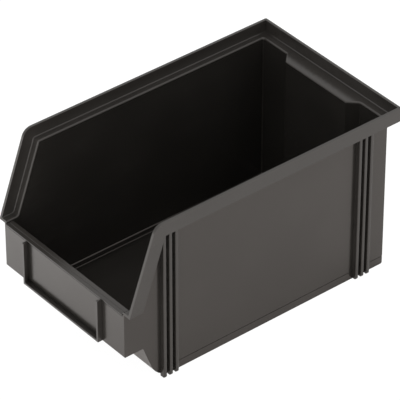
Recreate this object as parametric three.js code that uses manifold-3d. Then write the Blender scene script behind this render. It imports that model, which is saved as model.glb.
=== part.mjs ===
// Open-fronted stacking storage bin, injection-moulded in one piece of black conductive plastic.
// Millimetres, +Z up. Front (label holder) faces -Y, the closed back faces +Y, and the bin
// stands on Z = 0 with the origin at the middle of its footprint.
//
// The moulding is laid out as its named features: panels, rim, stacking foot, ribs and label
// rails. Neighbouring features meet face to face.
//
// Places along the bin are given as a setback: the distance forward from the rim's back face.
import * as THREE from 'three';
import { mergeVertices } from 'three/addons/utils/BufferGeometryUtils.js';
import Module from 'manifold-3d';

// ---- driving dimensions -------------------------------------------------------------------
const WIDTH = 140;               // across the rim
const BODY_LENGTH = 231.25;      // rim's back face to front panel
const HEIGHT = 130;
const WALL = 1.5;                // panel thickness
const FLOOR = 2;                 // floor thickness

const FLANGE = 2;                // thickness of the rim's upright flange
const FLANGE_HEIGHT = 10.5;      // flange, measured square to the rim's edge
const BEND_RADIUS = 8;           // where the rim turns down towards the front
const BEND_SETBACK = 208.75;     // sharp corner of that bend
const FRONT_TOP = 66.5;          // height of the front panel's top edge

const HALF_INSIDE = 62.5;        // middle of the bin to a side wall's inner face
const BACK_SETBACK = 7;          // rim's back face to the back wall's outer face

const FRONT_BOTTOM = 31;         // underside of the overhanging front
const RISER_TOP_SETBACK = 216;   // where that underside meets the riser
const RISER_FOOT_SETBACK = 204.25; // the riser's line carried down to the ground
const SCOOP_RADIUS = 19;         // outside radius between the floor and the riser

const FOOT_HEIGHT = 6.5;         // band round the base that seats inside the rim below
const FOOT_TAPER = 0.25;         // how far that band draws in towards the ground

const LIP_DEPTH = 6.5;           // front lip, front to back
const LIP_OVERHANG = 0.5;        // front lip beyond the front panel

const RIB_WIDTH = 2.5;
const RIB_PITCH = 5;
const RIB_REACH = 67.5;          // middle of the bin to a rib's outer face
const RIB_FOOT = 0.5;            // height of a rib's lower end
const RIBS_PER_GROUP = 3;
const RIB_GROUPS = { front: 201.25, rear: 34.25 }; // setback of each group's foremost face

const RECESS_HALF_MOUTH = 37.5;  // hanging recess in the back wall, at the wall's outer face
const RECESS_DEPTH = 7;          // its ends lean at 45 degrees

const RAIL_DEPTH = 3.5;          // label rails, out from the front panel
const RAIL_WIDTH = 1.75;
const RAIL_WEB = 0.75;           // the part of a rail that stands on the panel
const SLOT_DEPTH = 1.25;         // room for the card behind a rail's edge
const HOLDER_HALF_WIDTH = 40.5;

// ---- sizes that follow --------------------------------------------------------------------
const HALF_WIDTH = WIDTH / 2;
const HALF_LENGTH = (BODY_LENGTH + RAIL_DEPTH) / 2;
const HALF_OUTSIDE = HALF_INSIDE + WALL;
const FLANGE_INSIDE = HALF_WIDTH - FLANGE;
const BACK_INSIDE = BACK_SETBACK + WALL;
const LEDGE_UNDER = HEIGHT - FLANGE_HEIGHT;
const LEDGE_TOP = LEDGE_UNDER + WALL;
const SLOPE_RUN = (BODY_LENGTH - BEND_SETBACK) / (HEIGHT - FRONT_TOP); // forward per unit down
const SLOPE_SCALE = Math.hypot(1, SLOPE_RUN); // level distance for a unit square to the slope
const RISER_RUN = (RISER_TOP_SETBACK - RISER_FOOT_SETBACK) / FRONT_BOTTOM;
const RISER_TURN = Math.atan2(1, RISER_RUN);  // the riser's angle from level
const SCOOP_START = RISER_FOOT_SETBACK - SCOOP_RADIUS * Math.tan(RISER_TURN / 2);
const RECESS_CORNER = WALL * Math.tan(Math.PI / 8); // a 45-degree corner, across one wall

// ---- shapes -------------------------------------------------------------------------------
const wasm = await Module();
wasm.setup();

const bin = new THREE.Group();

/** Adds one feature of the moulding under its own name, in its own black plastic. */
function addFeature(name, geometry) {
  const plastic = new THREE.MeshStandardMaterial({ color: 0x1b1a19, roughness: 0.45, metalness: 0 });
  const mesh = new THREE.Mesh(geometry, plastic);
  mesh.name = name;
  bin.add(mesh);
}

/** Level position of a point on the sloping rim's edge, moved `inset` square to the slope. */
function slopeSetback(height, inset) {
  return BEND_SETBACK + (HEIGHT - height) * SLOPE_RUN - inset * SLOPE_SCALE;
}

/** Moves every vertex of a geometry to where `place` puts it, as [x, y, z]. */
function remap(geometry, place) {
  const position = geometry.getAttribute('position');
  for (let i = 0; i < position.count; i += 1) {
    const moved = place(position.getX(i), position.getY(i), position.getZ(i));
    position.setXYZ(i, ...moved);
  }
  geometry.computeVertexNormals();
  return geometry;
}

/** A side-view outline of (setback, height), extruded across the bin from x0 to x1. */
function acrossBin(outline, x0, x1) {
  const geometry = new THREE.ExtrudeGeometry(outline, { depth: x1 - x0, bevelEnabled: false, curveSegments: 8 });
  // Depth runs towards -X, which keeps every face of the extrusion pointing out.
  return remap(geometry, (setback, height, depth) => [x1 - depth, HALF_LENGTH - setback, height]);
}

/** A plan outline of (x, setback), extruded upwards from z0 to z1. */
function upright(points, z0, z1) {
  const outline = new THREE.Shape(points.map(([x, setback]) => new THREE.Vector2(x, HALF_LENGTH - setback)));
  const geometry = new THREE.ExtrudeGeometry(outline, { depth: z1 - z0, bevelEnabled: false });
  return remap(geometry, (x, y, depth) => [x, y, z0 + depth]);
}

/** A rectangular block between two x, two setbacks and two heights. */
function block([x0, x1], [back, front], [z0, z1]) {
  return upright([[x0, back], [x1, back], [x1, front], [x0, front]], z0, z1);
}

/** A shape drawn through plain points of (setback, height). */
function outlineOf(points) {
  return new THREE.Shape(points.map(([setback, height]) => new THREE.Vector2(setback, height)));
}

/** Leans the foot's band: each point moves inwards along `axis` by the taper at its height. */
function leanFoot(geometry, axis, inward) {
  return remap(geometry, (x, y, z) => {
    const shift = inward * FOOT_TAPER * (1 - z / FOOT_HEIGHT);
    return axis === 'x' ? [x + shift, y, z] : [x, y + shift, z];
  });
}

/** A geometry as a solid that can be joined and cut. */
function toSolid(geometry) {
  const bare = geometry.clone();
  bare.deleteAttribute('normal');
  bare.deleteAttribute('uv');
  const merged = mergeVertices(bare);
  return new wasm.Manifold(new wasm.Mesh({
    numProp: 3,
    vertProperties: new Float32Array(merged.getAttribute('position').array),
    triVerts: new Uint32Array(merged.getIndex().array),
  }));
}

/** A cut or joined solid as a geometry again. */
function toGeometry(solid) {
  const mesh = solid.getMesh();
  const geometry = new THREE.BufferGeometry();
  geometry.setAttribute('position', new THREE.BufferAttribute(mesh.vertProperties, 3));
  geometry.setIndex(new THREE.BufferAttribute(mesh.triVerts, 1));
  geometry.computeVertexNormals();
  return geometry;
}

// The curve that joins the floor to the riser, at a depth below the moulding's outer skin.
const scoopRadius = (depth) => SCOOP_RADIUS - depth;
const scoopSetback = (height, depth) => (
  SCOOP_START + Math.sqrt(scoopRadius(depth) ** 2 - (SCOOP_RADIUS - height) ** 2)
);
const scoopAngle = (height, depth) => -Math.asin((SCOOP_RADIUS - height) / scoopRadius(depth));
const SCOOP_END_ANGLE = RISER_TURN - Math.PI / 2;
/** Level position on the riser's skin or, with a depth, on its inner face. */
const riserSetback = (height, depth) => (
  RISER_FOOT_SETBACK + height * RISER_RUN - depth * Math.hypot(1, RISER_RUN)
);

// ---- both sides ---------------------------------------------------------------------------
function sideWallOutline() {
  const outline = new THREE.Shape();
  outline.moveTo(BACK_SETBACK, FOOT_HEIGHT);
  outline.lineTo(scoopSetback(FOOT_HEIGHT, 0), FOOT_HEIGHT);
  outline.absarc(SCOOP_START, SCOOP_RADIUS, SCOOP_RADIUS, scoopAngle(FOOT_HEIGHT, 0), SCOOP_END_ANGLE, false);
  outline.lineTo(RISER_TOP_SETBACK, FRONT_BOTTOM);
  outline.lineTo(BODY_LENGTH, FRONT_BOTTOM);
  outline.lineTo(BODY_LENGTH, FRONT_TOP);
  outline.lineTo(slopeSetback(FRONT_TOP, FLANGE_HEIGHT), FRONT_TOP);
  outline.lineTo(slopeSetback(LEDGE_UNDER, FLANGE_HEIGHT), LEDGE_UNDER);
  outline.lineTo(BACK_SETBACK, LEDGE_UNDER);
  outline.closePath();
  return outline;
}

function footOutline() {
  const outline = new THREE.Shape();
  outline.moveTo(BACK_SETBACK, 0);
  outline.lineTo(SCOOP_START, 0);
  outline.absarc(SCOOP_START, SCOOP_RADIUS, SCOOP_RADIUS, -Math.PI / 2, scoopAngle(FOOT_HEIGHT, 0), false);
  outline.lineTo(BACK_SETBACK, FOOT_HEIGHT);
  outline.closePath();
  return outline;
}

/** The rim's upright flange: along the top, round the bend and down to the front. */
function flangeOutline() {
  const turn = Math.atan2(1, SLOPE_RUN);
  const bendStart = BEND_SETBACK - BEND_RADIUS * Math.tan(turn / 2);
  const outline = new THREE.Shape();
  outline.moveTo(0, LEDGE_UNDER);
  outline.lineTo(slopeSetback(LEDGE_UNDER, FLANGE_HEIGHT), LEDGE_UNDER);
  outline.lineTo(slopeSetback(FRONT_TOP, FLANGE_HEIGHT), FRONT_TOP);
  outline.lineTo(BODY_LENGTH, FRONT_TOP);
  outline.absarc(bendStart, HEIGHT - BEND_RADIUS, BEND_RADIUS, Math.PI / 2 - turn, Math.PI / 2, false);
  outline.lineTo(0, HEIGHT);
  outline.closePath();
  return outline;
}

/** The ledge that the next bin stands on, one wall thick, ending level above the front panel. */
function ledgeOutline() {
  const inset = FLANGE_HEIGHT - WALL;
  return outlineOf([
    [FLANGE, LEDGE_UNDER],
    [slopeSetback(LEDGE_UNDER, FLANGE_HEIGHT), LEDGE_UNDER],
    [slopeSetback(FRONT_TOP, FLANGE_HEIGHT), FRONT_TOP],
    [BODY_LENGTH, FRONT_TOP],
    [BODY_LENGTH, FRONT_TOP + WALL],
    [slopeSetback(FRONT_TOP + WALL, inset), FRONT_TOP + WALL],
    [slopeSetback(LEDGE_TOP, inset), LEDGE_TOP],
    [FLANGE, LEDGE_TOP],
  ]);
}

/** A rib's side view: from just clear of the ground up to the ledge. */
function ribOutline(front) {
  return outlineOf([
    [front - RIB_WIDTH, RIB_FOOT],
    [front, RIB_FOOT],
    [front, LEDGE_UNDER],
    [front - RIB_WIDTH, LEDGE_UNDER],
  ]);
}

/** A band of the bin's side from `near` to `far` out from the middle, on the left or right. */
function sideSpan(side, near, far) {
  return side === 'left' ? [-far, -near] : [near, far];
}

for (const side of ['left', 'right']) {
  const inward = side === 'left' ? 1 : -1;
  addFeature(`${side}_wall`, acrossBin(sideWallOutline(), ...sideSpan(side, HALF_INSIDE, HALF_OUTSIDE)));
  const foot = acrossBin(footOutline(), ...sideSpan(side, HALF_INSIDE, HALF_OUTSIDE));
  addFeature(`${side}_foot`, leanFoot(foot, 'x', inward));
  addFeature(`${side}_ledge`, acrossBin(ledgeOutline(), ...sideSpan(side, HALF_INSIDE, FLANGE_INSIDE)));
  addFeature(`${side}_flange`, acrossBin(flangeOutline(), ...sideSpan(side, FLANGE_INSIDE, HALF_WIDTH)));

  for (const [group, foremost] of Object.entries(RIB_GROUPS)) {
    for (let i = 0; i < RIBS_PER_GROUP; i += 1) {
      const rib = ribOutline(foremost - i * RIB_PITCH);
      const span = sideSpan(side, HALF_OUTSIDE, RIB_REACH);
      addFeature(`${side}_${group}_rib_${i + 1}`, acrossBin(rib, ...span));
    }
  }
}

// ---- back ---------------------------------------------------------------------------------
const recessFloor = BACK_SETBACK + RECESS_DEPTH;        // outer face of the recessed panel
const recessHalfFloor = RECESS_HALF_MOUTH - RECESS_DEPTH;
const cheekStart = RECESS_HALF_MOUTH + RECESS_CORNER;   // where a cheek leaves the back wall
const cheekEnd = recessHalfFloor + RECESS_CORNER;       // where it meets the recessed panel

for (const [side, sign] of [['left', -1], ['right', 1]]) {
  const wallSpan = sideSpan(side, cheekStart, HALF_INSIDE);
  addFeature(`back_wall_${side}`, block(wallSpan, [BACK_SETBACK, BACK_INSIDE], [FOOT_HEIGHT, LEDGE_UNDER]));
  const footSpan = sideSpan(side, cheekStart, HALF_INSIDE - FOOT_TAPER);
  const foot = block(footSpan, [BACK_SETBACK, BACK_INSIDE], [0, FOOT_HEIGHT]);
  addFeature(`back_foot_${side}`, leanFoot(foot, 'y', -1));
  const cheek = upright([
    [sign * RECESS_HALF_MOUTH, BACK_SETBACK],
    [sign * recessHalfFloor, recessFloor],
    [sign * cheekEnd, recessFloor + WALL],
    [sign * cheekStart, BACK_INSIDE],
    [sign * cheekStart, BACK_SETBACK],
  ], 0, LEDGE_UNDER);
  addFeature(`recess_cheek_${side}`, cheek);
}
addFeature('recess_panel', upright([
  [-recessHalfFloor, recessFloor],
  [recessHalfFloor, recessFloor],
  [cheekEnd, recessFloor + WALL],
  [-cheekEnd, recessFloor + WALL],
], 0, LEDGE_UNDER));

addFeature('back_flange', block([-FLANGE_INSIDE, FLANGE_INSIDE], [0, FLANGE], [LEDGE_UNDER, HEIGHT]));
addFeature('back_ledge', block([-HALF_INSIDE, HALF_INSIDE], [FLANGE, BACK_INSIDE], [LEDGE_UNDER, LEDGE_TOP]));
addFeature('recess_ledge', upright([
  [-cheekStart, BACK_INSIDE],
  [cheekStart, BACK_INSIDE],
  [cheekEnd, recessFloor + WALL],
  [-cheekEnd, recessFloor + WALL],
], LEDGE_UNDER, LEDGE_TOP));

// ---- floor and front ----------------------------------------------------------------------
function floorOutline() {
  const outline = new THREE.Shape();
  const [outer, inner] = [scoopAngle(FOOT_HEIGHT, 0), scoopAngle(FOOT_HEIGHT, FLOOR)];
  outline.moveTo(BACK_INSIDE + FOOT_TAPER, 0);
  outline.lineTo(SCOOP_START, 0);
  outline.absarc(SCOOP_START, SCOOP_RADIUS, SCOOP_RADIUS, -Math.PI / 2, outer, false);
  outline.lineTo(scoopSetback(FOOT_HEIGHT, FLOOR), FOOT_HEIGHT);
  outline.absarc(SCOOP_START, SCOOP_RADIUS, scoopRadius(FLOOR), inner, -Math.PI / 2, true);
  outline.lineTo(BACK_INSIDE + FOOT_TAPER, FLOOR);
  outline.closePath();
  return outline;
}

/** The rest of the scoop's curve above the foot, and the straight riser up to the front's shelf. */
function riserOutline() {
  const [outer, inner] = [scoopAngle(FOOT_HEIGHT, 0), scoopAngle(FOOT_HEIGHT, WALL)];
  const outline = new THREE.Shape();
  outline.moveTo(scoopSetback(FOOT_HEIGHT, 0), FOOT_HEIGHT);
  outline.absarc(SCOOP_START, SCOOP_RADIUS, SCOOP_RADIUS, outer, SCOOP_END_ANGLE, false);
  outline.lineTo(RISER_TOP_SETBACK, FRONT_BOTTOM);
  outline.lineTo(riserSetback(FRONT_BOTTOM + WALL, WALL), FRONT_BOTTOM + WALL);
  outline.absarc(SCOOP_START, SCOOP_RADIUS, scoopRadius(WALL), SCOOP_END_ANGLE, inner, true);
  outline.closePath();
  return outline;
}

// The hanging recess is open below, so the floor stops short round it.
const recessWay = upright([
  [-cheekStart, 0],
  [cheekStart, 0],
  [cheekStart, BACK_INSIDE],
  [cheekEnd, recessFloor + WALL],
  [-cheekEnd, recessFloor + WALL],
  [-cheekStart, BACK_INSIDE],
], -FLOOR, 2 * FLOOR);
const halfFloor = HALF_INSIDE - FOOT_TAPER;
const floorSlab = toSolid(acrossBin(floorOutline(), -halfFloor, halfFloor));
addFeature('floor_panel', toGeometry(floorSlab.subtract(toSolid(recessWay))));
addFeature('front_riser', acrossBin(riserOutline(), -HALF_INSIDE, HALF_INSIDE));
addFeature('front_shelf', acrossBin(outlineOf([
  [RISER_TOP_SETBACK, FRONT_BOTTOM],
  [BODY_LENGTH - WALL, FRONT_BOTTOM],
  [BODY_LENGTH - WALL, FRONT_BOTTOM + WALL],
  [riserSetback(FRONT_BOTTOM + WALL, WALL), FRONT_BOTTOM + WALL],
]), -HALF_INSIDE, HALF_INSIDE));
addFeature('front_wall', block(
  [-HALF_INSIDE, HALF_INSIDE], [BODY_LENGTH - WALL, BODY_LENGTH], [FRONT_BOTTOM, FRONT_TOP - WALL],
));
const lipFront = BODY_LENGTH + LIP_OVERHANG;
addFeature('front_lip', block(
  [-HALF_INSIDE, HALF_INSIDE], [lipFront - LIP_DEPTH, lipFront], [FRONT_TOP - WALL, FRONT_TOP],
));

// ---- label holder: three rails with a slot behind their inner edges ------------------------
const railTop = FRONT_TOP - WALL;
const railFront = BODY_LENGTH + RAIL_DEPTH;
for (const [side, sign] of [['left', -1], ['right', 1]]) {
  addFeature(`label_rail_${side}`, upright([
    [sign * HOLDER_HALF_WIDTH, BODY_LENGTH],
    [sign * HOLDER_HALF_WIDTH, railFront],
    [sign * (HOLDER_HALF_WIDTH - RAIL_WIDTH), railFront],
    [sign * (HOLDER_HALF_WIDTH - RAIL_WIDTH), BODY_LENGTH + SLOT_DEPTH],
    [sign * (HOLDER_HALF_WIDTH - RAIL_WEB), BODY_LENGTH + SLOT_DEPTH],
    [sign * (HOLDER_HALF_WIDTH - RAIL_WEB), BODY_LENGTH],
  ], FRONT_BOTTOM, railTop));
}
const bottomRail = outlineOf([
  [BODY_LENGTH, FRONT_BOTTOM],
  [railFront, FRONT_BOTTOM],
  [railFront, FRONT_BOTTOM + RAIL_WIDTH],
  [BODY_LENGTH + SLOT_DEPTH, FRONT_BOTTOM + RAIL_WIDTH],
  [BODY_LENGTH + SLOT_DEPTH, FRONT_BOTTOM + RAIL_WEB],
  [BODY_LENGTH, FRONT_BOTTOM + RAIL_WEB],
]);
const betweenRails = HOLDER_HALF_WIDTH - RAIL_WIDTH;
addFeature('label_rail_bottom', acrossBin(bottomRail, -betweenRails, betweenRails));

export default bin;
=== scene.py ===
import logging
import math
from dataclasses import dataclass, field
from enum import Enum
from typing import Any, Callable, Iterable, Sequence

import bmesh
import bpy
from mathutils import Matrix, Vector


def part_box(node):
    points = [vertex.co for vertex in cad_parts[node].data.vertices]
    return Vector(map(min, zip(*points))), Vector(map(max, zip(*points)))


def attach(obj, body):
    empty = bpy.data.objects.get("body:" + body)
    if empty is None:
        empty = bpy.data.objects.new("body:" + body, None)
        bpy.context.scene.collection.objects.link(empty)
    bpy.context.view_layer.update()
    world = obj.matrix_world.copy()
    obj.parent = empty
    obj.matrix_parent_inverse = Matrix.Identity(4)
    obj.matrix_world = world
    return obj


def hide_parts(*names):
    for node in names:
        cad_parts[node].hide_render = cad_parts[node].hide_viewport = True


# Open-fronted stacking storage bin in black moulded plastic. Metres, in the frame of the packed
# model: the front with its label holder faces -Y, the closed back faces +Y.

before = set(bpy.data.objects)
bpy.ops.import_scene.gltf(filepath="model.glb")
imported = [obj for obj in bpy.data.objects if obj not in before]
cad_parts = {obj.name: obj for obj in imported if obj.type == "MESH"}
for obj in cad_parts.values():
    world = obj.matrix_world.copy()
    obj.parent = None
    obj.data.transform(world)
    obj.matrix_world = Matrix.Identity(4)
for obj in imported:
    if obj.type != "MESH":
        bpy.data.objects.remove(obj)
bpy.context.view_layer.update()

LOG = logging.getLogger("bin")
MM = 0.001
BODY = "root"
Point = tuple[float, float]
Colour = tuple[float, float, float]
EdgeTest = Callable[[bmesh.types.BMEdge], bool]
SIDES = ("left", "right")

WELD = 0.0005 * MM       # vertices closer than this become one
SAME = 0.001 * MM        # coordinates closer than this are taken as equal
ON_FACE = 0.01 * MM      # a vertex closer than this to a face lies on it
FLAT = math.radians(0.4)     # neighbouring faces that turn less are merged
SHARP = math.radians(40.0)   # edges that turn more are shaded sharp
RIM_ARC_STEP = math.radians(6.0)   # the rim's bends are large, so their arcs are drawn finer


def ends(edge: bmesh.types.BMEdge) -> tuple[Vector, Vector]:
    """Where an edge starts and ends."""
    return edge.verts[0].co, edge.verts[1].co


# ---- flat outlines ---------------------------------------------------------------------------
@dataclass(frozen=True)
class Corner:
    """A corner of an outline, with the radius that the mould gives it."""

    across: float
    along: float
    radius: float = 0.0


@dataclass(frozen=True)
class Outline:
    """A closed flat outline with rounded corners."""

    corners: tuple[Corner, ...]
    turn_per_step: float = math.radians(11.0)

    def points(self) -> list[Point]:
        """Draws the outline as a polygon.

        Returns:
            Its points, with each rounded corner drawn as an arc.
        """
        drawn: list[Point] = []
        count = len(self.corners)
        for i, corner in enumerate(self.corners):
            before, after = self.corners[i - 1], self.corners[(i + 1) % count]
            drawn.extend(self._arc(before, corner, after))
        return drawn

    def _arc(self, before: Corner, corner: Corner, after: Corner) -> list[Point]:
        """Rounds one corner.

        Args:
            before: The corner before it.
            corner: The corner to round.
            after: The corner after it.

        Returns:
            The points that replace the corner.
        """
        here = Vector((corner.across, corner.along))
        if corner.radius <= 0.0:
            return [(here.x, here.y)]
        back = (Vector((before.across, before.along)) - here).normalized()
        ahead = (Vector((after.across, after.along)) - here).normalized()
        opening = back.angle(ahead)
        reach = corner.radius / math.tan(opening / 2.0)
        centre = here + (back + ahead).normalized() * (corner.radius / math.sin(opening / 2.0))
        start, end = here + back * reach - centre, here + ahead * reach - centre
        turn = math.pi - opening
        steps = max(2, math.ceil(turn / self.turn_per_step))
        sign = 1.0 if start.x * end.y - start.y * end.x > 0.0 else -1.0
        arc: list[Point] = []
        for step in range(steps + 1):
            angle = sign * turn * step / steps
            cos, sin = math.cos(angle), math.sin(angle)
            across = centre.x + start.x * cos - start.y * sin
            along = centre.y + start.x * sin + start.y * cos
            arc.append((across, along))
        return arc


class Draw(Enum):
    """The plane an outline is drawn in, and the axis it is extruded along."""

    SIDE_VIEW = "y, z outline extruded across the bin"
    PLAN = "x, y outline extruded upwards"
    FRONT_VIEW = "x, z outline extruded front to back"


class Solid:
    """A closed mesh while it is being shaped."""

    def __init__(self, shape: bmesh.types.BMesh) -> None:
        """Takes over a closed mesh."""
        self.shape = shape

    @classmethod
    def prism(cls, outline: Outline, draw: Draw, low: float, high: float) -> "Solid":
        """Extrudes an outline.

        Args:
            outline: The flat outline.
            draw: Its plane.
            low: Where the extrusion starts.
            high: Where it ends.

        Returns:
            The closed prism.
        """
        place: dict[Draw, Callable[[float, float, float], tuple[float, float, float]]] = {
            Draw.SIDE_VIEW: lambda a, b, depth: (depth, a, b),
            Draw.PLAN: lambda a, b, depth: (a, b, depth),
            Draw.FRONT_VIEW: lambda a, b, depth: (a, depth, b),
        }
        shape = bmesh.new()
        rings = [
            [shape.verts.new(place[draw](a, b, depth)) for a, b in outline.points()]
            for depth in (low, high)
        ]
        for ring in rings:
            shape.faces.new(ring)
        for i in range(len(rings[0])):
            j = i - 1
            shape.faces.new((rings[0][j], rings[0][i], rings[1][i], rings[1][j]))
        bmesh.ops.recalc_face_normals(shape, faces=shape.faces[:])
        return cls(shape)

    def edges(self, wanted: EdgeTest, least_turn: float) -> list[bmesh.types.BMEdge]:
        """Picks edges of the solid.

        Args:
            wanted: A test that an edge has to pass.
            least_turn: How far it has to turn at least, in degrees.

        Returns:
            The edges.
        """
        limit = math.radians(least_turn)
        return [
            edge for edge in self.shape.edges
            if len(edge.link_faces) == 2 and edge.calc_face_angle(0.0) >= limit and wanted(edge)
        ]

    def round_edges(
        self,
        radius: float,
        steps: int,
        wanted: EdgeTest,
        least_turn: float = 40.0,
    ) -> "Solid":
        """Rounds edges of the solid.

        Args:
            radius: How far the rounding reaches from the edge.
            steps: Faces across the rounding.
            wanted: A test that picks the edges.
            least_turn: Edges flatter than this many degrees stay as they are.

        Returns:
            The solid itself.
        """
        chosen = self.edges(wanted, least_turn)
        bmesh.ops.bevel(
            self.shape, geom=chosen, offset=radius, offset_type="OFFSET", segments=steps,
            profile=0.5, affect="EDGES", clamp_overlap=True,
        )
        return self

    def split_level(self, height: float) -> "Solid":
        """Adds an edge loop all round the solid.

        Args:
            height: Its height.

        Returns:
            The solid itself.
        """
        bmesh.ops.bisect_plane(
            self.shape, geom=self.shape.verts[:] + self.shape.edges[:] + self.shape.faces[:],
            plane_co=(0.0, 0.0, height), plane_no=(0.0, 0.0, 1.0),
        )
        return self

    def move(self, place: Callable[[Vector], Vector]) -> "Solid":
        """Moves every vertex.

        Args:
            place: Gives a vertex's new position from its old one.

        Returns:
            The solid itself.
        """
        for vertex in self.shape.verts:
            vertex.co = place(vertex.co.copy())
        return self

    def cut(self, other: "Solid") -> "Solid":
        """Cuts another solid out of this one.

        Args:
            other: The solid that is taken away, which is used up.

        Returns:
            The solid itself.
        """
        here, there = self._stand_in("here"), other._stand_in("there")
        difference = here.modifiers.new("cut", "BOOLEAN")
        difference.object = there
        difference.operation = "DIFFERENCE"
        difference.solver = "EXACT"
        bpy.context.view_layer.update()
        depsgraph = bpy.context.evaluated_depsgraph_get()
        result = bpy.data.meshes.new_from_object(here.evaluated_get(depsgraph))
        self.shape.clear()
        self.shape.from_mesh(result)
        for stand_in in (here, there):
            mesh = stand_in.data
            bpy.data.objects.remove(stand_in)
            bpy.data.meshes.remove(mesh)
        bpy.data.meshes.remove(result)
        other.shape.free()
        self._clean()
        return self

    def _clean(self) -> None:
        """Welds doubled vertices and merges flat neighbouring faces."""
        bmesh.ops.remove_doubles(self.shape, verts=self.shape.verts[:], dist=WELD)
        bmesh.ops.dissolve_degenerate(self.shape, dist=SAME, edges=self.shape.edges[:])
        bmesh.ops.dissolve_limit(
            self.shape, angle_limit=FLAT, verts=self.shape.verts[:], edges=self.shape.edges[:],
        )

    def _stand_in(self, name: str) -> bpy.types.Object:
        """Makes a short-lived object for Blender's boolean.

        Args:
            name: Its name.

        Returns:
            The object, holding a copy of the solid.
        """
        mesh = bpy.data.meshes.new(name)
        self.shape.to_mesh(mesh)
        stand_in = bpy.data.objects.new(name, mesh)
        bpy.context.scene.collection.objects.link(stand_in)
        return stand_in

    def to_object(self, name: str) -> bpy.types.Object:
        """Makes the finished mesh object, smooth over its roundings and flat on its panels.

        Args:
            name: The object's name.

        Returns:
            The object. The solid is used up.
        """
        mesh = bpy.data.meshes.new(name)
        bmesh.ops.recalc_face_normals(self.shape, faces=self.shape.faces[:])
        for face in self.shape.faces:
            face.smooth = True
        for edge in self.shape.edges:
            edge.smooth = edge.calc_face_angle(0.0) < SHARP
        self.shape.to_mesh(mesh)
        self.shape.free()
        piece = bpy.data.objects.new(name, mesh)
        bpy.context.scene.collection.objects.link(piece)
        level = piece.modifiers.new("flat panels", "WEIGHTED_NORMAL")
        level.mode = "FACE_AREA"
        level.weight = 100
        level.keep_sharp = True
        return piece


# ---- shader expressions ----------------------------------------------------------------------
class Value:
    """A number that varies over a surface: a node socket that takes part in Python sums."""

    def __init__(self, kit: "ShaderKit", socket: bpy.types.NodeSocket) -> None:
        """Wraps a socket of a node tree."""
        self.kit = kit
        self.socket = socket

    def _math(self, operation: str, first: Any, second: Any) -> "Value":
        """Adds a Math node for one operation."""
        return self.kit.node("ShaderNodeMath", {"operation": operation}, {0: first, 1: second})

    def __add__(self, other: Any) -> "Value":
        """This plus another."""
        return self._math("ADD", self, other)

    __radd__ = __add__

    def __sub__(self, other: Any) -> "Value":
        """This minus another."""
        return self._math("SUBTRACT", self, other)

    def __rsub__(self, other: Any) -> "Value":
        """Another minus this."""
        return self._math("SUBTRACT", other, self)

    def __mul__(self, other: Any) -> "Value":
        """This times another."""
        return self._math("MULTIPLY", self, other)

    __rmul__ = __mul__

    def between(self, low: float, high: float) -> "Value":
        """Turns a span of this value into a smooth step.

        Args:
            low: Where the step leaves zero.
            high: Where it reaches one.

        Returns:
            The step.
        """
        return self.kit.node(
            "ShaderNodeMapRange", {"interpolation_type": "SMOOTHSTEP"},
            {"Value": self, "From Min": low, "From Max": high}, "Result",
        )


class ShaderKit:
    """A material's node tree, with one method that adds any node."""

    def __init__(self, name: str) -> None:
        """Starts a material with only its output and its plastic shader.

        Args:
            name: The material's name.
        """
        self.material = bpy.data.materials.new(name)
        self.material.use_nodes = True
        self.tree = self.material.node_tree
        self.tree.nodes.clear()
        self.surface = self.tree.nodes.new("ShaderNodeBsdfPrincipled")
        output = self.tree.nodes.new("ShaderNodeOutputMaterial")
        self.tree.links.new(self.surface.outputs["BSDF"], output.inputs["Surface"])

    def feed(self, socket: bpy.types.NodeSocket, value: Any) -> None:
        """Gives a socket its input.

        Args:
            socket: The socket.
            value: A value, which is linked, or a plain number or colour, which is set.
        """
        if isinstance(value, Value):
            self.tree.links.new(value.socket, socket)
        else:
            socket.default_value = value

    def node(
        self, kind: str, settings: dict[str, Any], values: dict[Any, Any], output: Any = 0,
    ) -> Value:
        """Adds a node.

        Args:
            kind: The node's type.
            settings: Its own settings, set before its sockets.
            values: What goes into its sockets, by socket name or number.
            output: The output that is wanted.

        Returns:
            That output, as a value.
        """
        node = self.tree.nodes.new(kind)
        for name, setting in settings.items():
            setattr(node, name, setting)
        for name, value in values.items():
            self.feed(node.inputs[name], value)
        return Value(self, node.outputs[output])

    def noise(self, place: Value, size: float, detail: float, roughness: float = 0.5) -> Value:
        """Cloudy noise from about 0 to 1, with clouds of a size in metres and finer layers of detail."""
        sockets = {"Vector": place, "Scale": 1.0 / size, "Detail": detail, "Roughness": roughness}
        return self.node("ShaderNodeTexNoise", {}, sockets, "Fac")

    def blend_colour(self, factor: Value, low: "Value | Colour", high: Colour) -> Value:
        """Blends two colours.

        Args:
            factor: 0 for the low colour, 1 for the high one.
            low: The colour at 0, plain or varying.
            high: The colour at 1.

        Returns:
            The blended colour.
        """
        node = self.tree.nodes.new("ShaderNodeMix")
        node.data_type = "RGBA"
        factor_in, low_in, high_in = node.inputs[0], node.inputs[6], node.inputs[7]
        self.feed(factor_in, factor)
        self.feed(low_in, low if isinstance(low, Value) else (*low, 1.0))
        self.feed(high_in, (*high, 1.0))
        return Value(self, node.outputs[2])

    def dot(self, first: Value, second: "Value | Colour") -> Value:
        """The dot product of two vectors."""
        return self.node("ShaderNodeVectorMath", {"operation": "DOT_PRODUCT"}, {0: first, 1: second}, "Value")

    def stretched(self, place: Value, scale: Colour) -> Value:
        """A position scaled along its axes, which draws noise out into streaks."""
        return self.node("ShaderNodeVectorMath", {"operation": "MULTIPLY"}, {0: place, 1: scale})


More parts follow.
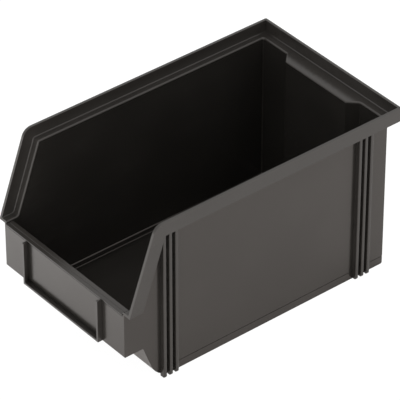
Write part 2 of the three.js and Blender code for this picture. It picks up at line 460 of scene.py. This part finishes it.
@dataclass(frozen=True)
class MouldedPlastic:
    """Black polypropylene from a spark-eroded mould: fine grain, soft sheen, faint bloom."""

    name: str
    tint: Colour = (0.0165, 0.0152, 0.0135)
    bloom: Colour = (0.0215, 0.0198, 0.0177)
    edge_wear_and_highlight_tint: Colour = (0.030, 0.028, 0.026)
    # painted reflection: the warm gloss tint stands in for the warm surroundings that the side walls reflect
    gloss_tint: Colour = (1.0, 0.905, 0.845)
    gloss_index: float = 1.50
    sheen_roughness: float = 0.21
    roughness_spread: float = 0.07
    grain_size: float = 0.00045
    grain_depth: float = 0.000022
    ripple_size: float = 0.024
    ripple_depth: float = 0.00012
    edge_reach: float = 0.0007
    cloud_size: float = 0.055
    flow_size: float = 0.016
    flow_stretch: Colour = (1.0, 0.22, 1.0)
    speck_size: float = 0.0011
    scuff_size: float = 0.0016
    scuff_stretch: Colour = (0.25, 0.9, 1.0)

    def make(self) -> bpy.types.Material:
        """Builds the material.

        Returns:
            The material.
        """
        kit = ShaderKit(self.name)
        place = kit.node("ShaderNodeTexCoord", {}, {}, "Object")
        clouds = kit.noise(place, self.cloud_size, 3.0)
        flow = kit.noise(kit.stretched(place, self.flow_stretch), self.flow_size, 4.0, 0.6)
        grain = kit.noise(place, self.grain_size, 2.0, 0.65)
        specks = kit.noise(place, self.speck_size, 1.0).between(0.66, 0.76)
        streaks = kit.noise(kit.stretched(place, self.scuff_stretch), self.scuff_size, 3.0, 0.7)
        edges = self._edges(kit)
        patches = (clouds * 0.65 + flow * 0.35).between(0.36, 0.66)
        colour = kit.blend_colour(patches, self.tint, self.bloom)
        # lighter along the edges: partly handling wear, partly a painted highlight on the rounded edges
        worn_and_highlit = kit.blend_colour(edges * (0.35 + flow * 0.6), colour, self.edge_wear_and_highlight_tint)
        roughness = (
            self.sheen_roughness + (clouds - 0.5) * self.roughness_spread + (grain - 0.5) * 0.10
            + specks * 0.05 + streaks.between(0.62, 0.74) * patches * 0.06 - edges * 0.05
        )
        kit.feed(kit.surface.inputs["Base Color"], worn_and_highlit)
        kit.feed(kit.surface.inputs["Roughness"], roughness)
        kit.feed(kit.surface.inputs["Normal"], self._relief(kit, place, grain))
        kit.surface.inputs["IOR"].default_value = self.gloss_index
        kit.surface.inputs["Specular Tint"].default_value = (*self.gloss_tint, 1.0)
        return kit.material

    def _edges(self, kit: ShaderKit) -> Value:
        """Finds the moulding's edges, which handling polishes and which are painted lighter, partly as wear
        and partly as a painted highlight.

        Args:
            kit: The material's node tree.

        Returns:
            A mask that is 1 along the edges.
        """
        rounded = kit.node("ShaderNodeBevel", {"samples": 6}, {"Radius": self.edge_reach})
        true = kit.node("ShaderNodeNewGeometry", {}, {}, "Normal")
        return (1.0 - kit.dot(rounded, true)).between(0.01, 0.16)

    def _relief(self, kit: ShaderKit, place: Value, grain: Value) -> Value:
        """Lays the mould's grain over the slow ripple of a thin panel.

        Args:
            kit: The material's node tree.
            place: Position on the piece.
            grain: The grain's height.

        Returns:
            The bumped normal.
        """
        ripple = kit.noise(place, self.ripple_size, 1.0)
        slow = kit.node(
            "ShaderNodeBump", {}, {"Strength": 1.0, "Distance": self.ripple_depth, "Height": ripple},
        )
        return kit.node(
            "ShaderNodeBump", {},
            {"Strength": 1.0, "Distance": self.grain_depth, "Height": grain, "Normal": slow},
        )


@dataclass(frozen=True)
class StudioWhite:
    """The seamless white of the studio floor, with a painted glow that lights the bin, strongest in a painted
    pool of light in front and on the left.
    """

    name: str = "studio_white"
    shade: float = 0.86
    seen_shade: float = 0.10
    seen_glow: float = 0.97
    dim_glow: Colour = (0.33, 0.305, 0.29)
    bright_glow: Colour = (1.10, 1.09, 1.08)
    towards_painted_pool: tuple[float, float, float] = (-0.6, -0.8, 0.0)
    pool_start: float = 0.02
    pool_full: float = 0.30

    def make(self) -> bpy.types.Material:
        """Builds the material.

        Returns:
            The material: pale, with a painted glow that lights the bin, burnt out to white when looked at.
        """
        kit = ShaderKit(self.name)
        looked_at = kit.node("ShaderNodeLightPath", {}, {}, "Is Camera Ray")
        place = kit.node("ShaderNodeTexCoord", {}, {}, "Object")
        # painted pool of light: the floor's glow, which only the bin sees, brightens towards the front and
        # the left
        pool = kit.dot(place, self.towards_painted_pool).between(self.pool_start, self.pool_full)
        glow = kit.blend_colour(pool, self.dim_glow, self.bright_glow)
        shade = kit.blend_colour(looked_at, (self.shade,) * 3, (self.seen_shade,) * 3)
        kit.feed(kit.surface.inputs["Base Color"], shade)
        # painted glow: the floor shines on the bin though it is no lamp, while the camera sees it as plain
        # white
        seen = kit.blend_colour(looked_at, glow, (self.seen_glow,) * 3)
        kit.feed(kit.surface.inputs["Emission Color"], seen)
        kit.surface.inputs["Roughness"].default_value = 1.0
        kit.surface.inputs["Specular IOR Level"].default_value = 0.0
        kit.surface.inputs["Emission Strength"].default_value = 1.0
        return kit.material


# ---- the bin's sizes -------------------------------------------------------------------------
@dataclass(frozen=True)
class BinSizes:
    """The moulding's main sizes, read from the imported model."""

    half_width: float
    flange_inside: float
    half_outside: float
    half_inside: float
    rim_back: float
    flange_back_inside: float
    wall_back: float
    wall_back_inside: float
    recess_panel: float
    panel: float
    panel_inside: float
    rail_front: float
    lip_front: float
    lip_back: float
    height: float
    ledge_top: float
    ledge_under: float
    front_top: float
    front_bottom: float
    foot_height: float
    riser_head: float
    recess_mouth: float
    floor: float = 2.0 * MM
    foot_draw: float = 0.05 * MM
    crease_depth: float = 0.7 * MM
    crease_height: float = 0.5 * MM
    inner_step: float = 0.65 * MM
    inner_step_height: float = 0.5 * MM
    full_inset_share: float = 0.9
    back_corner_zone: float = 4.0 * MM
    bend_setback: float = 208.75 * MM
    riser_foot_setback: float = 204.25 * MM

    @classmethod
    def read(cls) -> "BinSizes":
        """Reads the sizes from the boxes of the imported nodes.

        Returns:
            The sizes.
        """
        box = {name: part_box(name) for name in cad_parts}
        return cls(
            half_width=box["right_flange"][1].x,
            flange_inside=box["right_flange"][0].x,
            half_outside=box["right_wall"][1].x,
            half_inside=box["right_wall"][0].x,
            rim_back=box["back_flange"][1].y,
            flange_back_inside=box["back_flange"][0].y,
            wall_back=box["back_wall_right"][1].y,
            wall_back_inside=box["back_wall_right"][0].y,
            recess_panel=box["recess_panel"][1].y,
            panel=box["front_wall"][0].y,
            panel_inside=box["front_wall"][1].y,
            rail_front=box["label_rail_left"][0].y,
            lip_front=box["front_lip"][0].y,
            lip_back=box["front_lip"][1].y,
            height=box["right_flange"][1].z,
            ledge_top=box["back_ledge"][1].z,
            ledge_under=box["back_ledge"][0].z,
            front_top=box["front_lip"][1].z,
            front_bottom=box["front_wall"][0].z,
            foot_height=box["right_foot"][1].z,
            riser_head=box["front_riser"][0].y,
            recess_mouth=box["recess_ledge"][1].x,
        )

    @property
    def wall(self) -> float:
        """Thickness of the panels."""
        return self.half_outside - self.half_inside

    @property
    def flange_height(self) -> float:
        """Height of the rim's outer flange."""
        return self.height - self.ledge_under

    @property
    def half_corner(self) -> float:
        """How far one wall's thickness shifts a corner of 45 degrees along its side."""
        return self.wall * math.tan(math.pi / 8.0)

    @property
    def recess_depth(self) -> float:
        """How far the hanging recess is set into the back."""
        return self.wall_back - self.recess_panel

    @property
    def slope_run(self) -> float:
        """How far the sloping rim comes forward for each unit that it drops."""
        foot = self.rim_back - self.panel
        return (foot - self.bend_setback) / (self.height - self.front_top)

    def slope(self, height: float, inset: float) -> float:
        """Y on the sloping rim's edge at a height, moved square to the slope by an inset."""
        ahead = self.bend_setback + (self.height - height) * self.slope_run
        return self.rim_back - ahead + inset * math.hypot(1.0, self.slope_run)

    @property
    def riser_foot(self) -> float:
        """Y of the riser's outer line carried down to the ground."""
        return self.rim_back - self.riser_foot_setback

    def riser(self, height: float, depth: float) -> float:
        """Y on the riser at a height, moved into the bin by a depth."""
        run = (self.riser_foot - self.riser_head) / self.front_bottom
        return self.riser_foot - height * run + depth * math.hypot(1.0, run)

    def draw_in(self, place: Vector, back: float, inset: float) -> Vector:
        """Moves a point of the side and back panels towards the middle.

        Args:
            place: The point.
            back: Y of the back face that it may be on.
            inset: How far it goes.

        Returns:
            Where the point goes.
        """
        spread = min(1.0, abs(place.x) / (self.half_inside * self.full_inset_share))
        place.x -= math.copysign(inset, place.x) * spread
        if place.y > back - self.back_corner_zone:
            place.y -= inset
        return place

    def crease_foot(self, place: Vector) -> Vector:
        """Cuts the fine crease above the foot band, with the band itself drawn in a little.

        Args:
            place: A point of the tub's outside.

        Returns:
            Where the point goes.
        """
        below = self.foot_height - place.z
        if below < 0.1 * self.crease_height:
            return place
        inset = self.crease_depth if below < 0.9 * self.crease_height else self.foot_draw
        return self.draw_in(place, self.wall_back, inset)

    def step_foot(self, place: Vector) -> Vector:
        """Steps the inner side of the foot band in, from where it flares out again to the floor.

        Args:
            place: A point of the tub's inside.

        Returns:
            Where the point goes.
        """
        if place.z >= self.foot_height - 0.5 * self.inner_step_height:
            return place
        share = self.foot_draw + (self.inner_step - self.foot_draw) * place.z / self.foot_height
        return self.draw_in(place, self.wall_back_inside, share)


# ---- the pieces ------------------------------------------------------------------------------
@dataclass
class Piece:
    """A moulded feature of the bin."""

    sizes: BinSizes
    plastic: bpy.types.Material
    made: list[bpy.types.Object] = field(default_factory=list)

    def settle(self, solid: Solid, name: str, nodes: Sequence[str]) -> None:
        """Makes a piece of a solid and puts it on the frame.

        Args:
            solid: The finished shape.
            name: The piece's name.
            nodes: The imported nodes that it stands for.
        """
        piece = solid.to_object(name)
        piece.data.materials.append(self.plastic)
        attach(piece, BODY)
        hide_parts(*nodes)
        self.made.append(piece)

    def report(self) -> None:
        """Logs each piece with its size."""
        for piece in self.made:
            size = ", ".join(f"{edge * 1000:.1f}" for edge in piece.dimensions)
            LOG.info("%s: %s mm, %d faces", piece.name, size, len(piece.data.polygons))


@dataclass
class Tub(Piece):
    """Side panels, back with its hanging recess, floor, scooped riser, shelf and front panel."""

    upright_radius: float = 2.4 * MM
    inner_radius: float = 0.9 * MM
    ground_radius: float = 1.3 * MM
    scoop_radius: float = 19.0 * MM
    shelf_heel_radius: float = 0.8 * MM
    shelf_nose_radius: float = 0.9 * MM
    pocket_heel_radius: float = 1.0 * MM
    recess_mouth_radius: float = 1.0 * MM
    recess_corner_radius: float = 0.6 * MM
    into_rim: float = 0.25 * MM
    lip_seat: float = 1.6 * MM
    seat_reach: float = 3.0 * MM
    seat_gap: float = 0.05 * MM
    clear: float = 12.0 * MM

    def build(self) -> None:
        """Builds the tub from its outer body, less its hollow."""
        sizes = self.sizes
        body = self._outer().cut(self._recess())
        body.cut(self._hollow())
        body.cut(self._lip_seat())
        nodes = [
            "floor_panel", "front_riser", "front_shelf", "front_wall", "recess_panel",
            *(f"{side}_{part}" for side in SIDES for part in ("wall", "foot")),
            *(f"{part}_{side}" for side in SIDES for part in ("back_wall", "back_foot", "recess_cheek")),
        ]
        self.settle(body, "bin_tub", nodes)

    def _outer(self) -> Solid:
        """Shapes the outside of the tub.

        Returns:
            The body inside its outer skin, with the crease above the foot band.
        """
        s, top = self.sizes, self.sizes.ledge_under + self.into_rim
        inset = s.flange_height - self.into_rim
        front_top = s.front_top + self.into_rim
        outline = Outline((
            Corner(s.wall_back, 0.0, self.ground_radius),
            Corner(s.riser(0.0, 0.0), 0.0, self.scoop_radius),
            Corner(s.riser_head, s.front_bottom, self.shelf_heel_radius),
            Corner(s.panel, s.front_bottom, self.shelf_nose_radius),
            Corner(s.panel, front_top),
            Corner(s.slope(front_top, inset), front_top),
            Corner(s.slope(top, inset), top),
            Corner(s.wall_back, top),
        ))
        body = Solid.prism(outline, Draw.SIDE_VIEW, -s.half_outside, s.half_outside)

        def upright(edge: bmesh.types.BMEdge) -> bool:
            """Picks an upright corner of the front or back panel.

            Args:
                edge: The edge.

            Returns:
                Whether it is one.
            """
            a, b = ends(edge)
            upwards = abs(a.x - b.x) < SAME and abs(a.y - b.y) < SAME
            tall = abs(a.z - b.z) > s.front_bottom / 2.0
            return upwards and tall and abs(abs(a.x) - s.half_outside) < ON_FACE

        def skirt(edge: bmesh.types.BMEdge) -> bool:
            """Picks an edge of the ground line, scoop, riser or shelf.

            Args:
                edge: The edge.

            Returns:
                Whether it is one.
            """
            a, b = ends(edge)
            low = max(a.z, b.z) < s.front_bottom + self.shelf_nose_radius
            outside = abs(abs(a.x) - s.half_outside) < self.upright_radius + ON_FACE
            return low and outside and abs(a.x - b.x) < SAME

        body.round_edges(self.upright_radius, 5, upright, 60.0)
        body.round_edges(self.ground_radius, 3, skirt, 60.0)
        for share in (0.0, 0.5, 1.0):
            body.split_level(s.foot_height - share * s.crease_height)
        return body.move(s.crease_foot)

    def _hollow(self) -> Solid:
        """Shapes the inside of the tub.

        Returns:
            The space in it, round the inner side of the hanging recess.
        """
        s, top = self.sizes, self.sizes.height + self.clear
        shelf = s.front_bottom + s.wall
        outline = Outline((
            Corner(s.wall_back_inside, s.floor, self.inner_radius),
            Corner(s.riser(s.floor, s.wall), s.floor, self.scoop_radius - s.floor),
            Corner(s.riser(shelf, s.wall), shelf, self.pocket_heel_radius),
            Corner(s.panel_inside, shelf, self.inner_radius),
            Corner(s.panel_inside, top),
            Corner(s.wall_back_inside, top),
        ))
        hollow = Solid.prism(outline, Draw.SIDE_VIEW, -s.half_inside, s.half_inside)

        def sides(edge: bmesh.types.BMEdge) -> bool:
            """An edge of a side panel, but for the open top."""
            a, b = ends(edge)
            return abs(a.x - b.x) < SAME and min(a.z, b.z) < s.height

        hollow.round_edges(self.inner_radius, 3, sides, 60.0)
        hollow.split_level(s.foot_height).split_level(s.foot_height - s.inner_step_height)
        hollow.move(s.step_foot)
        bump = Solid.prism(self.recess_outline(s.wall), Draw.PLAN, -self.clear, top + self.clear)
        return hollow.cut(bump)

    def recess_outline(self, wall: float) -> Outline:
        """Plan of the hanging recess.

        Args:
            wall: Distance in from the outer skin: 0, or one wall for the inner side.

        Returns:
            The outline, reaching well behind the bin.
        """
        s = self.sizes
        shallow, deep = s.wall_back - wall + 2.0 * ON_FACE, s.recess_panel - wall
        mouth = s.recess_mouth if wall else s.recess_mouth - s.half_corner
        bottom = mouth - s.recess_depth
        behind, wide = s.rim_back + self.clear, s.half_outside + self.clear
        outer = self.recess_mouth_radius
        inner = self.recess_corner_radius + (outer if wall else 0.0)
        return Outline((
            Corner(-wide, behind), Corner(-wide, shallow), Corner(-mouth, shallow, outer),
            Corner(-bottom, deep, inner), Corner(bottom, deep, inner),
            Corner(mouth, shallow, outer), Corner(wide, shallow), Corner(wide, behind),
        ))

    def _recess(self) -> Solid:
        """The space in the hanging recess, open below and closed by the ledge above."""
        top = self.sizes.ledge_under + self.clear
        return Solid.prism(self.recess_outline(0.0), Draw.PLAN, -self.clear, top)

    def _lip_seat(self) -> Solid:
        """Shapes the seat of the front lip.

        Returns:
            What is taken off the front panel's top edge.
        """
        s = self.sizes
        low = s.front_top - self.lip_seat
        reach = s.half_inside - self.seat_gap
        front, back = s.panel - self.clear, s.panel_inside + self.seat_reach
        outline = Outline((
            Corner(-reach, front), Corner(reach, front), Corner(reach, back), Corner(-reach, back),
        ))
        return Solid.prism(outline, Draw.PLAN, low, low + self.clear)


@dataclass
class StackingRim(Piece):
    """The stepped rim: an upright flange and the ledge inside it that the next bin stands on."""

    bend_radius: float = 8.0 * MM
    inner_bend_radius: float = 1.2 * MM
    foot_bend_radius: float = 2.5 * MM
    opening_radius: float = 1.3 * MM
    edge_radius: float = 0.42 * MM
    ledge_radius: float = 1.42 * MM
    ledge_fillet: float = 0.8 * MM
    corner_radius: float = 1.1 * MM
    least_length: float = 0.3 * MM
    least_rise: float = 0.2
    foot_clear: float = 1.0 * MM
    near: float = 0.1 * MM
    clear: float = 12.0 * MM

    def build(self) -> None:
        """Builds the rim."""
        s = self.sizes
        rim = Solid.prism(self._flange_outline(), Draw.SIDE_VIEW, -s.half_width, s.half_width)

        def back_corner(edge: bmesh.types.BMEdge) -> bool:
            """An upright corner at the back of the rim."""
            a, b = ends(edge)
            return min(a.y, b.y) > s.rim_back - ON_FACE and abs(a.x - b.x) < SAME

        rim.round_edges(self.corner_radius, 3, back_corner, 60.0)
        rim.cut(Solid.prism(self._above_ledge(), Draw.SIDE_VIEW, -s.flange_inside, s.flange_inside))
        rim.cut(Solid.prism(self._opening(), Draw.PLAN, s.front_bottom, s.height + self.clear))

        def ledge_edge(edge: bmesh.types.BMEdge) -> bool:
            """Picks the ledge's inner edge, along the opening's top.

            Args:
                edge: The edge.

            Returns:
                Whether it is one.
            """
            inside = all(abs(end.x) < s.half_inside + self.near for end in ends(edge))
            above_lip = all(end.z > s.front_top + self.foot_clear for end in ends(edge))
            faces_up = max(face.normal.z for face in edge.link_faces) > self.least_rise
            return inside and faces_up and above_lip

        def ledge_foot(edge: bmesh.types.BMEdge) -> bool:
            """Picks the inner corner between the flange and the ledge.

            Args:
                edge: The edge.

            Returns:
                Whether it is one.
            """
            inside = all(
                abs(abs(end.x) - s.flange_inside) < ON_FACE or abs(end.y - s.flange_back_inside) < ON_FACE
                for end in ends(edge)
            )
            low = max(end.z for end in ends(edge)) < s.ledge_top + self.near
            return inside and low and not edge.is_convex

        rim.round_edges(self.ledge_radius, 4, ledge_edge)
        rim.round_edges(self.ledge_fillet, 3, ledge_foot)
        rim.round_edges(self.edge_radius, 2, self._sharp)
        nodes = [
            "back_flange", "back_ledge", "recess_ledge",
            *(f"{side}_{part}" for side in SIDES for part in ("flange", "ledge")),
        ]
        self.settle(rim, "stacking_rim", nodes)

    def _sharp(self, edge: bmesh.types.BMEdge) -> bool:
        """Picks an edge that is long enough to be rounded and isn't under the ledge against the tub.

        Args:
            edge: The edge.

        Returns:
            Whether it is one.
        """
        s = self.sizes
        under = all(
            end.z < s.ledge_under + self.near and abs(end.x) < s.half_outside
            and end.y > s.slope(s.ledge_under, s.flange_height) - self.near
            for end in ends(edge)
        )
        return edge.calc_length() > self.least_length and not under

    def _flange_outline(self) -> Outline:
        """Draws the side view of the flange.

        Returns:
            The outline: along the top, round the bend and down to the front.
        """
        s = self.sizes
        return Outline((
            Corner(s.rim_back, s.ledge_under),
            Corner(s.slope(s.ledge_under, s.flange_height), s.ledge_under, self.inner_bend_radius),
            Corner(s.slope(s.front_top, s.flange_height), s.front_top, self.foot_bend_radius),
            Corner(s.panel, s.front_top),
            Corner(s.slope(s.height, 0.0), s.height, self.bend_radius),
            Corner(s.rim_back, s.height),
        ), RIM_ARC_STEP)

    def _above_ledge(self) -> Outline:
        """Draws the side view of the space above the ledge.

        Returns:
            The outline, which is cut out between the flanges.
        """
        s = self.sizes
        inset = s.flange_height - s.wall
        front, top = s.panel - self.clear, s.height + self.clear
        level = s.front_top + s.wall
        return Outline((
            Corner(s.flange_back_inside, s.ledge_top),
            Corner(s.slope(s.ledge_top, inset), s.ledge_top, self.inner_bend_radius),
            Corner(s.slope(level, inset), level, self.foot_bend_radius),
            Corner(front, level), Corner(front, top), Corner(s.flange_back_inside, top),
        ), RIM_ARC_STEP)

    def _opening(self) -> Outline:
        """Draws the plan of the bin's opening.

        Returns:
            The outline, which goes round the ledge over the hanging recess.
        """
        s = self.sizes
        mouth = s.recess_mouth
        bottom = mouth - s.recess_depth
        deep, front = s.recess_panel - s.wall, s.panel - self.clear
        radius = self.opening_radius
        return Outline((
            Corner(-s.half_inside, front), Corner(-s.half_inside, s.wall_back_inside, radius),
            Corner(-mouth, s.wall_back_inside, radius), Corner(-bottom, deep, radius),
            Corner(bottom, deep, radius), Corner(mouth, s.wall_back_inside, radius),
            Corner(s.half_inside, s.wall_back_inside, radius), Corner(s.half_inside, front),
        ))


@dataclass
class FrontLip(Piece):
    """The flat lip along the top of the low front."""

    outer_radius: float = 0.35 * MM
    inner_radius: float = 0.5 * MM
    groove_width: float = 0.5 * MM
    groove_depth: float = 0.2 * MM
    groove_radius: float = 0.15 * MM
    neck_depth: float = 0.5 * MM
    neck_height: float = 1.0 * MM
    thickness: float = 0.9 * MM
    into_rim: float = 0.2 * MM

    def build(self) -> None:
        """Builds the lip as one grooved bar on a set-back neck, between the ends of the rim."""
        s, top = self.sizes, self.sizes.front_top
        low = top - self.thickness
        neck, neck_foot = s.lip_front + self.neck_depth, low - self.neck_height
        middle = (s.lip_front + s.lip_back) / 2.0
        groove = middle - self.groove_width
        outline = Outline((
            Corner(s.lip_back, neck_foot), Corner(neck, neck_foot),
            Corner(neck, low), Corner(s.lip_front, low),
            Corner(s.lip_front, top, self.outer_radius), Corner(groove, top, self.groove_radius),
            Corner((groove + middle) / 2.0, top - self.groove_depth, self.groove_radius / 1.5),
            Corner(middle, top, self.groove_radius), Corner(s.lip_back, top, self.inner_radius),
        ))
        reach = s.half_inside + self.into_rim
        self.settle(Solid.prism(outline, Draw.SIDE_VIEW, -reach, reach), "front_lip_bar", ["front_lip"])


@dataclass
class LabelHolder(Piece):
    """Three rails on the front panel, with a slot for a card behind their inner edges."""

    web: float = 0.75 * MM
    slot_depth: float = 1.25 * MM
    edge_radius: float = 0.35 * MM
    corner_radius: float = 0.4 * MM
    inner_corner_radius: float = 0.3 * MM
    into_panel: float = 0.1 * MM
    clear: float = 5.0 * MM

    def build(self) -> None:
        """Builds the rails as one holder."""
        s = self.sizes
        arm, side = (corner.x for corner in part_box("label_rail_right"))
        low, high = s.front_bottom, s.front_top - s.wall
        rails = self._u_shape(side, arm, low, high)
        holder = Solid.prism(rails, Draw.FRONT_VIEW, s.rail_front, s.panel + self.into_panel)
        reach, open_top = side - self.web, high + self.clear
        slot = Outline((
            Corner(-reach, low + self.web), Corner(reach, low + self.web),
            Corner(reach, open_top), Corner(-reach, open_top),
        ))
        slot_front = s.panel - self.slot_depth
        holder.cut(Solid.prism(slot, Draw.FRONT_VIEW, slot_front, s.panel + self.clear))

        def outer(edge: bmesh.types.BMEdge) -> bool:
            """An edge that stands out from the front panel."""
            return all(end.y < s.panel - self.into_panel for end in ends(edge))

        holder.round_edges(self.edge_radius, 2, outer)
        nodes = ["label_rail_left", "label_rail_right", "label_rail_bottom"]
        self.settle(holder, "label_holder", nodes)

    def _u_shape(self, far: float, near: float, low: float, high: float) -> Outline:
        """Draws the front view of a U, open above.

        Args:
            far: From the middle to the outside of its arms.
            near: From the middle to their inside.
            low: Its lower edge.
            high: Its open top.

        Returns:
            The outline.
        """
        bottom = low + far - near
        outer, inner = self.corner_radius, self.inner_corner_radius
        return Outline((
            Corner(-far, low, outer), Corner(far, low, outer), Corner(far, high),
            Corner(near, high), Corner(near, bottom, inner),
            Corner(-near, bottom, inner), Corner(-near, high), Corner(-far, high),
        ))


@dataclass
class SideRibs(Piece):
    """The twelve upright ribs, three in each group."""

    edge_radius: float = 0.45 * MM
    foot_radius: float = 1.3 * MM
    into_wall: float = 0.5 * MM
    into_rim: float = 0.4 * MM

    def build(self) -> None:
        """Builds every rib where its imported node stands."""
        for name in sorted(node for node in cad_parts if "_rib_" in node):
            low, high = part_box(name)
            self._rib(name, low, high)

    def _rib(self, name: str, low: Vector, high: Vector) -> None:
        """Builds one rib.

        Args:
            name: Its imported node.
            low: The node's lowest corner.
            high: The node's highest corner.
        """
        outward = 1.0 if high.x > 0.0 else -1.0
        outer, inner = (high.x, low.x) if outward > 0.0 else (low.x, high.x)
        root, top = inner - outward * self.into_wall, high.z + self.into_rim
        outline = Outline((
            Corner(root, low.z), Corner(outer, low.z, self.foot_radius),
            Corner(outer, top), Corner(root, top),
        ))
        rib = Solid.prism(outline, Draw.FRONT_VIEW, low.y, high.y)

        def outer_edge(edge: bmesh.types.BMEdge) -> bool:
            """Picks an edge along the rib's outer face or its foot.

            Args:
                edge: The edge.

            Returns:
                Whether it is one.
            """
            a, b = ends(edge)
            at_wall = max(abs(a.x), abs(b.x)) < abs(inner)
            return abs(a.y - b.y) < SAME and not at_wall

        rib.round_edges(self.edge_radius, 2, outer_edge, 60.0)
        self.settle(rib, f"{name}_bar", [name])


# ---- studio ----------------------------------------------------------------------------------
@dataclass(frozen=True)
class Studio:
    """The camera, the white floor, the overhead light and the white surroundings."""

    azimuth: float = 50.794
    elevation: float = 36.469
    distance: float = 2.28209
    lens: float = 305.81
    aim: tuple[float, float, float] = (0.00112, 0.00700, 0.060)   # right, up in the view; height
    floor_size: float = 14.0
    floor_gap: float = 0.2 * MM

    def build(self) -> None:
        """Sets up the whole studio."""
        self._camera()
        self._floor()
        self._world()
        OVERHEAD_SOFTBOX.hang()

    def _axes(self) -> tuple[Vector, Vector, Vector]:
        """Works out which way the camera faces.

        Returns:
            Its right, up and forward directions.
        """
        az, el = math.radians(self.azimuth), math.radians(self.elevation)
        ahead = Vector((-math.sin(az) * math.cos(el), math.cos(az) * math.cos(el), -math.sin(el)))
        right = Vector((math.cos(az), math.sin(az), 0.0))
        return right, right.cross(ahead), ahead

    def _camera(self) -> None:
        """Puts the camera at the studio's viewing angle."""
        right, up, ahead = self._axes()
        across, rise, height = self.aim
        centre = Vector((0.0, 0.0, height)) + right * across + up * rise
        data = bpy.data.cameras.new("studio_camera")
        data.lens = self.lens
        data.sensor_width = 36.0
        data.clip_end = 50.0
        camera = bpy.data.objects.new("studio_camera", data)
        turn = Matrix((right, up, -ahead)).transposed().to_4x4()
        camera.matrix_world = Matrix.Translation(centre - ahead * self.distance) @ turn
        bpy.context.scene.collection.objects.link(camera)
        bpy.context.scene.camera = camera

    def _floor(self) -> None:
        """Lays the white floor under the bin."""
        half = self.floor_size / 2.0
        mesh = bpy.data.meshes.new("studio_floor")
        corners = [(-half, -half, 0.0), (half, -half, 0.0), (half, half, 0.0), (-half, half, 0.0)]
        mesh.from_pydata(corners, [], [(0, 1, 2, 3)])
        floor = bpy.data.objects.new("studio_floor", mesh)
        floor.location.z = -self.floor_gap
        floor.data.materials.append(StudioWhite().make())
        bpy.context.scene.collection.objects.link(floor)

    def _world(self) -> None:
        """Surrounds the set with plain white."""
        world = bpy.data.worlds.new("studio_world")
        world.use_nodes = True
        background = world.node_tree.nodes["Background"]
        background.inputs["Color"].default_value = (1.0, 1.0, 1.0, 1.0)
        background.inputs["Strength"].default_value = 1.0
        bpy.context.scene.world = world
        bpy.context.scene.view_settings.view_transform = "Standard"


@dataclass(frozen=True)
class Softbox:
    """A square soft light."""

    name: str
    place: tuple[float, float, float]
    aim: tuple[float, float, float]
    size: float
    power: float

    def hang(self) -> None:
        """Hangs the light and points it."""
        data = bpy.data.lights.new(self.name, "AREA")
        data.shape = "SQUARE"
        data.size = self.size
        data.energy = self.power
        light = bpy.data.objects.new(self.name, data)
        light.location = self.place
        towards = Vector(self.aim) - Vector(self.place)
        light.rotation_euler = towards.to_track_quat("-Z", "Y").to_euler()
        bpy.context.scene.collection.objects.link(light)


OVERHEAD_SOFTBOX = Softbox("overhead_softbox", (-0.2, 0.2, 1.6), (0.0, 0.0, 0.0), 1.2, 2.0)
# One black plastic in two copies, as painted light: the tub's panels are painted darker, with a warmer gloss
# tint, for the shade under the flange and the warm reflections on the side walls. The rim, lip, holder and
# ribs are painted lighter and more neutral.
SHADED_PANEL_PLASTIC = MouldedPlastic("moulded_plastic_shaded_panels")
LIT_RIM_PLASTIC = MouldedPlastic(
    "moulded_plastic_lit_rim", tint=(0.0265, 0.0240, 0.0216), bloom=(0.0320, 0.0290, 0.0262),
    gloss_tint=(1.0, 0.96, 0.93), gloss_index=1.49,
)


def main() -> None:
    """Builds the bin and its studio."""
    logging.basicConfig(level=logging.INFO, format="%(name)s: %(message)s")
    sizes = BinSizes.read()
    panels, rim = SHADED_PANEL_PLASTIC.make(), LIT_RIM_PLASTIC.make()
    Studio().build()
    for piece in (
        Tub(sizes, panels), StackingRim(sizes, rim), FrontLip(sizes, rim),
        LabelHolder(sizes, rim), SideRibs(sizes, rim),
    ):
        piece.build()
        piece.report()


if __name__ == "__main__":
    main()
